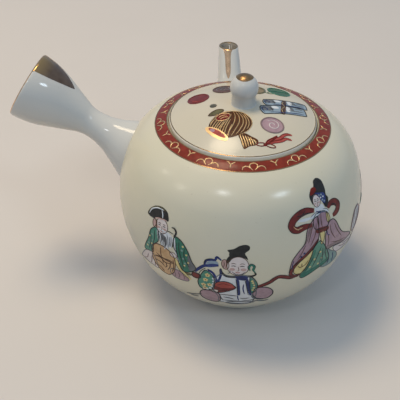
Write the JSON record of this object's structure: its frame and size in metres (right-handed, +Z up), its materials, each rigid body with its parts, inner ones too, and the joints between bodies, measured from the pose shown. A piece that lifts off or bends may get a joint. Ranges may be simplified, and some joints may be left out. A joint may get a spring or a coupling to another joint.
{
  "type": "kyusu side-handle teapot",
  "caption": "Round-bellied porcelain side-handle teapot with a flared hollow handle, short spout over a pierced strainer, low foot ring and a domed knob lid that lifts off.",
  "frame": {"origin": "centre of the foot ring's flat underside, where the pot stands", "axes": "+Z up along the pot's axis, +Y along the spout, -X the side of the hollow handle"},
  "size_m": [0.1511, 0.1224, 0.1006],
  "materials": {
    "ivory_glaze": "glossy cream glaze on porcelain",
    "white_glaze": "glossy cool white glaze on porcelain",
    "gold_lustre": "burnished overglaze gold, worn in places",
    "red_enamel": "thin overglaze iron red",
    "green_enamel": "raised glassy overglaze green",
    "blue_enamel": "raised glassy overglaze blue",
    "mauve_enamel": "raised glassy overglaze manganese purple",
    "ochre_enamel": "raised glassy overglaze yellow",
    "flesh_enamel": "thin overglaze flesh wash",
    "black_enamel": "overglaze black and brown line"
  },
  "bodies": {
    "pot": {"pot_body": "ivory_glaze", "spout": "white_glaze", "strainer": "white_glaze", "side_handle": "white_glaze"},
    "lid": {"lid": "ivory_glaze", "lid_knob": "white_glaze"}
  },
  "joints": [
    {"name": "lid_lift", "type": "slide", "parent": "pot", "child": "lid", "axis": [0, 0, 1], "range_m": [0, 0.045]}
  ]
}
